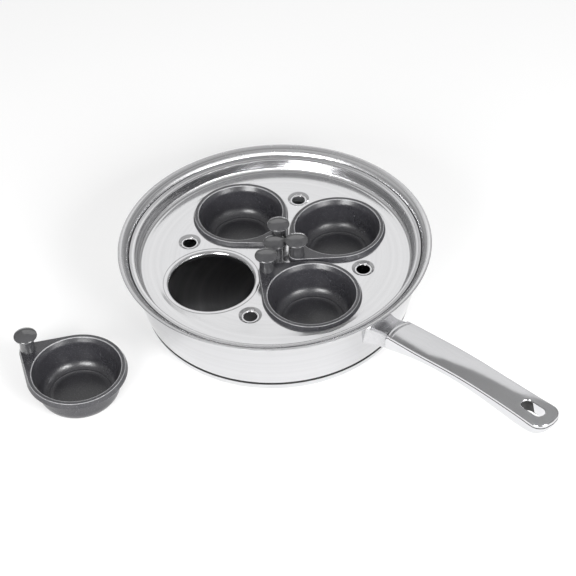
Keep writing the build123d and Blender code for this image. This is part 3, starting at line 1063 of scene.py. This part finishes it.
# One column of the station shares at a place along the handle, on a smooth curve
def stationShare(place, column):
    share = (place - handleStart) / (handleEnd - handleStart)
    share = min(max(share, 0), stationShares[-1][0])
    table = stationShares
    i = max(k for k in range(len(table) - 1) if table[k][0] <= share)
    before, here, after, beyond = (table[min(max(k, 0), len(table) - 1)] for k in (i - 1, i, i + 1, i + 2))
    span = after[0] - here[0]
    t = (share - here[0]) / span
    inSlope = (after[column] - before[column]) / max(after[0] - before[0], tiny) * span
    outSlope = (beyond[column] - here[column]) / max(beyond[0] - here[0], tiny) * span
    cubed, squared = t ** 3, t ** 2
    return (here[column] * (2 * cubed - 3 * squared + 1) + inSlope * (cubed - 2 * squared + t)
            + after[column] * (3 * squared - 2 * cubed) + outSlope * (cubed - squared))


def halfWidthAt(place):
    return handle["halfWidth"] * stationShare(place, 1)


# The end at the pan is rolled down, with a fine groove just behind the roll
def rootRoll(x):
    gone = max(x - handleStart, 0)
    roll = handle["rootRoll"]
    drop = roll * (1 - sqrt(1 - (1 - gone / roll) ** 2)) if gone < roll else 0
    return drop + handle["rootGroove"] * exp(-((gone - handle["grooveAt"]) / handle["grooveWidth"]) ** 2)


def topAt(x, y):
    return lipHeight - handle["rootDrop"] + handle["rise"] * stationShare(x, 2) \
        - handle["crown"] * (y / halfWidthAt(x)) ** 2 - rootRoll(x)


def bottomAt(x):
    return lipHeight - handle["rootDrop"] + handle["rise"] * stationShare(x, 2) \
        - handle["depth"] * stationShare(x, 3)


# Plan of the handle: along its near side, round the nose and back along its far side
def handlePlan():
    tip = handleEnd - handle["noseBulge"]
    corner = tip - handle["noseCorner"]
    count = handle["stations"]
    places = [handleStart + step for step in handle["rootSteps"]]
    places += [handleStart + (corner - handleStart) * i / count for i in range(2, count)]
    side = [(x, -halfWidthAt(x)) for x in places]
    noseSide = handle["halfWidth"] - handle["noseCorner"]
    side += arc((corner, -noseSide), handle["noseCorner"], -pi / 2, 0, handle["noseSteps"])
    nose = [(handleEnd - handle["noseBulge"] * (y / noseSide) ** 2, y) for y in
            (-noseSide * 2 / 3, -noseSide / 3, 0)]
    near = side + nose
    return near + [(x, -y) for x, y in near[-2::-1]]


def inwardNormals(points):
    normals = []
    for i in range(len(points)):
        before, after = points[max(i - 1, 0)], points[min(i + 1, len(points) - 1)]
        along = Vector((after[0] - before[0], after[1] - before[1])).normalized()
        normals.append((-along.y, along.x))
    normals[0], normals[-1] = (0, 1), (0, -1)
    return normals


def quarterTurns(steps):
    return [pi / 2 * i / steps for i in range(steps + 1)]


def inwards(point, normal, inset, height):
    return (point[0] + normal[0] * inset, point[1] + normal[1] * inset, height)


def seamAt(x):
    return topAt(x, 0) - handle["crown"] - handle["seamDrop"]


# Points down the edge of the handle, from the top inwards of its round to the seam
def upperEdge(point, normal):
    size, small = handle["topRound"], handle["seamRound"]
    high = topAt(*inwards(point, normal, size, 0)[:2])
    seam = seamAt(point[0])
    column = [inwards(point, normal, size * (1 - sin(turn)), high - size * (1 - cos(turn)))
              for turn in quarterTurns(handle["edgeSteps"])]
    column.append((*point, seam + small + handle["seamLand"]))
    column += [inwards(point, normal, small * (1 - cos(turn)), seam + small * (1 - sin(turn)))
               for turn in quarterTurns(handle["seamSteps"])]
    column.append(inwards(point, normal, handle["sheet"], seam))
    return column


# And from the seam down to the underside, inwards of its round
def lowerEdge(point, normal):
    seam, small = seamAt(point[0]) - handle["seamGap"], handle["seamRound"]
    low = bottomAt(point[0])
    size = min(handle["lowRound"], (topAt(point[0], 0) - low) / 3)
    column = [inwards(point, normal, handle["sheet"], seam)]
    column += [inwards(point, normal, small * (1 - sin(turn)), seam - small * (1 - cos(turn)))
               for turn in quarterTurns(handle["seamSteps"])]
    column.append((*point, seam - small - handle["seamLand"]))
    column += [inwards(point, normal, size * (1 - cos(turn)), low + size * (1 - sin(turn)))
               for turn in quarterTurns(handle["lowSteps"])]
    return column


# Point of the slot's outline that faces a point outside it, at a distance from the slot's wall
def slotPoint(point, distance):
    center = handleEnd - handle["slotToEnd"]
    half = (handle["slotLength"] - handle["slotWidth"]) / 2
    spine = min(max(point[0], center - half), center + half)
    away = Vector((point[0] - spine, point[1])).normalized()
    reach = handle["slotWidth"] / 2 + distance
    return (spine + away.x * reach, away.y * reach)


# Face that spans the handle inside its edge loop, with the slot's hole in it.
# height gives the face's height at a place; gap is how far its hole stays off the slot.
def spannedFace(build, loop, height, gap, bow=0):
    count = handle["stations"]
    gridEnd = handleEnd - handle["slotToEnd"] - handle["slotSpan"]
    cut = max(i for i in range(count) if loop[i][0] < gridEnd)
    columns = handle["columns"]
    rows = []
    for i in range(cut + 1):
        x, near, far = loop[i][0], loop[i][1], loop[-1 - i][1]
        fade = max(0, 1 - (x - handleStart) / handle["bowReach"]) ** 2
        row = []
        for k in range(columns + 1):
            y = near + (far - near) * k / columns
            shift = bow * fade * (1 - (2 * k / columns - 1) ** 2)
            row.append((x - shift, y, height(x, y)))
        rows.append(row)
    addRows(build, rows)
    outer = [(x, y) for x, y, z in rows[-1]]
    outer += [tuple(point[:2]) for point in loop[-2 - cut:cut:-1]]
    rings = []
    for step in range(handle["slotRings"] + 1):
        share = (step / handle["slotRings"]) ** handle["slotEase"]
        between = []
        for point in outer:
            inner = slotPoint(point, gap)
            x, y = (a + (b - a) * share for a, b in zip(inner, point))
            between.append((x, y, height(x, y)))
        rings.append(between)
    addRows(build, rings, closed=True)
    return outer, rows[0]


def buildHandle():
    plan = handlePlan()
    normals = inwardNormals(plan)
    build = bmesh.new()
    columns = [upperEdge(point, normal) for point, normal in zip(plan, normals)]
    addRows(build, columns)
    loop = [column[0] for column in columns]
    outer, rootRow = spannedFace(build, loop, topAt, handle["slotRound"], handle["rootBow"])
    slot = []
    for turn in quarterTurns(handle["slotSteps"]):
        away = handle["slotRound"] * (1 - sin(turn))
        drop = handle["slotRound"] * (1 - cos(turn))
        ring = []
        for point in outer:
            x, y = slotPoint(point, away)
            edgeX, edgeY = slotPoint(point, handle["slotRound"])
            ring.append((x, y, topAt(edgeX, edgeY) - drop))
        slot.append(ring)
    slot.append([(x, y, z - handle["slotLand"]) for x, y, z in slot[-1]])
    flare = handle["slotFlare"]
    for away, lift in ((flare, handle["flareLift"]), (flare + handle["flareStep"], 0)):
        ring = []
        for point in outer:
            x, y = slotPoint(point, away)
            ring.append((x, y, bottomAt(x) + lift))
        slot.append(ring)
    addRows(build, slot, closed=True)
    # the sheet's edge at the root
    root = columns[0][::-1][1:] + rootRow[1:-1] + columns[-1][:-1]
    lip = [[(x - back, y * narrow, z - down) for x, y, z in root] for back, narrow, down in handle["rootLip"]]
    addRows(build, [root, *lip])
    upper = newPiece("handleTop", finishMesh("handleTop", build), [handleSteel, paintedShadeSteel])
    slotCenter = handleEnd - handle["slotToEnd"]
    for face in upper.data.polygons:
        x, y, z = (value / mm for value in face.center)
        inSlot = abs(x - slotCenter) < handle["shadeHalf"][0] and abs(y) < handle["shadeHalf"][1]
        if inSlot and z < topAt(x, y) - handle["shadeBelow"] and x < slotCenter - handle["shadeFrom"]:
            face.material_index = 1      # shaded end of the slot's wall
        # painted shade: dark band along the seam between the two shells
        elif not inSlot and z < seamAt(x) + handle["seamShadeBand"]:
            face.material_index = 1
    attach(upper, "pan")
    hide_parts("handle_upper_shell")

    build = bmesh.new()
    columns = [lowerEdge(point, normal) for point, normal in zip(plan, normals)]
    addRows(build, columns)
    loop = [column[-1] for column in columns]
    spannedFace(build, loop, lambda x, y: bottomAt(x), flare + handle["flareGap"])
    lower = newPiece("handleUnderside", finishMesh("handleUnderside", build), [handleSteel, paintedShadeSteel])
    for face in lower.data.polygons:
        x, y, z = (value / mm for value in face.center)
        # painted shade along the seam between the two shells
        if z > seamAt(x) - handle["seamShadeBand"]:
            face.material_index = 1
    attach(lower, "pan")
    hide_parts("handle_lower_shell")
    dressNode("handle_bracket", bracketSteel)


buildHandle()
print("handle built")


# Lens and sensor in millimetres, place in metres, turn in degrees
cameraSetup = {
    "lens": 100.0,
    "sensor": 36.0,
    "location": (0.7467934, -0.6266341, 0.9036272),
    "rotation": (47.5509, 2.1863, 47.4818),
    "farClip": 50.0,
}


def placeCamera():
    data = bpy.data.cameras.new("photoCamera")
    data.lens = cameraSetup["lens"]
    data.sensor_width = cameraSetup["sensor"]
    data.clip_end = cameraSetup["farClip"]
    camera = bpy.data.objects.new("photoCamera", data)
    camera.location = cameraSetup["location"]
    camera.rotation_euler = [radians(angle) for angle in cameraSetup["rotation"]]
    bpy.context.scene.collection.objects.link(camera)
    bpy.context.scene.camera = camera


studio = {
    "floorColor": (0.52, 0.52, 0.52),
    "floorGlow": 0.47,   # added for the camera and for reflections, so that the paper is white
    "floorSize": 12.0,
    "floorRough": 0.9,
    "floorSpecular": 0.1,
    "low": 0.33,         # the room near the horizon
    "high": 0.46,        # the room overhead
    "lowTop": 0.30,      # sine of the elevation where the room starts to darken
    "highTop": 0.60,
}


def makeFloor():
    build = bmesh.new()
    half = studio["floorSize"] / 2
    corners = [build.verts.new((x * half, y * half, 0)) for x, y in ((-1, -1), (1, -1), (1, 1), (-1, 1))]
    build.faces.new(corners)
    mesh = bpy.data.meshes.new("floor")
    build.to_mesh(mesh)
    build.free()
    material, add, link, shader = newMaterial("floorPaper")
    shader.inputs["Base Color"].default_value = (*studio["floorColor"], 1)
    shader.inputs["Roughness"].default_value = studio["floorRough"]
    shader.inputs["Specular IOR Level"].default_value = studio["floorSpecular"]
    rays = add("ShaderNodeLightPath")
    shader.inputs["Emission Color"].default_value = (1, 1, 1, 1)
    seen = math(add, link, "MAXIMUM", rays.outputs["Is Camera Ray"], rays.outputs["Is Glossy Ray"])
    seen = math(add, link, "MAXIMUM", seen, rays.outputs["Is Transmission Ray"])
    link(math(add, link, "MULTIPLY", seen, studio["floorGlow"]), shader.inputs["Emission Strength"])
    floor = newPiece("floor", mesh, [material])


def makeWorld():
    world = bpy.data.worlds.new("lightTent")
    bpy.context.scene.world = world
    world.use_nodes = True
    tree = world.node_tree
    add, link = nodeTools(tree)
    light = tree.nodes["Background"]
    parts = placeParts(add, link, "Generated")
    fade = add("ShaderNodeMapRange", interpolation_type="SMOOTHSTEP")
    fade.inputs["From Min"].default_value = studio["lowTop"]
    fade.inputs["From Max"].default_value = studio["highTop"]
    fade.inputs["To Min"].default_value = studio["low"]
    fade.inputs["To Max"].default_value = studio["high"]
    link(parts.outputs["Z"], fade.inputs["Value"])
    link(fade.outputs["Result"], light.inputs["Strength"])
    light.inputs["Color"].default_value = (1, 1, 1, 1)


# Azimuth, distance over the floor, height, height of the point it faces, size and radiance
lamps = {
    "backPanel": {"azimuth": 140, "distance": 1.2, "height": 1.08, "aim": 1.08,
                  "size": (1.3, 1.24), "radiance": 0.545},
    "frontLeft": {"azimuth": -68, "distance": 1.20, "height": 0.58, "aim": 0.20,
                  "size": (0.60, 0.60), "radiance": 13},
    "frontRight": {"azimuth": -5, "distance": 1.25, "height": 0.70, "aim": 0.20,
                   "size": (0.60, 0.60), "radiance": 18},
}


def placeLamps():
    for name, values in lamps.items():
        azimuth = radians(values["azimuth"])
        place = Vector((cos(azimuth), sin(azimuth), 0)) * values["distance"]
        place.z = values["height"]
        data = bpy.data.lights.new(name, "AREA")
        data.shape = "RECTANGLE"
        data.size, data.size_y = values["size"]
        data.energy = values["radiance"] * pi * data.size * data.size_y
        lamp = bpy.data.objects.new(name, data)
        lamp.location = place
        lamp.rotation_euler = (place - Vector((0, 0, values["aim"]))).to_track_quat("Z", "Y").to_euler()
        lamp.visible_camera = False
        bpy.context.scene.collection.objects.link(lamp)


# Grey card over the handle, which only reflections see: it draws the dark facet on the steel
card = {
    "height": 200,
    "color": (0.60, 0.60, 0.60),
    "rough": 0.9,
    "outline": [(-10, 81), (20, 91), (45, 98), (106, 103), (159, 114), (168, 123), (178, 220),
                (340, 220), (340, -140), (-10, -140)],
}


def placeCard():
    build = bmesh.new()
    build.faces.new([build.verts.new((x, y, card["height"])) for x, y in card["outline"]])
    material, add, link, shader = newMaterial("cardPaper")
    shader.inputs["Base Color"].default_value = (*card["color"], 1)
    shader.inputs["Roughness"].default_value = card["rough"]
    piece = newPiece("card", finishMesh("card", build), [material])
    piece.visible_camera = piece.visible_diffuse = piece.visible_shadow = False


placeCamera()
makeFloor()
makeWorld()
placeLamps()
placeCard()
bpy.context.scene.view_settings.view_transform = "Standard"
print("camera, floor and light placed")
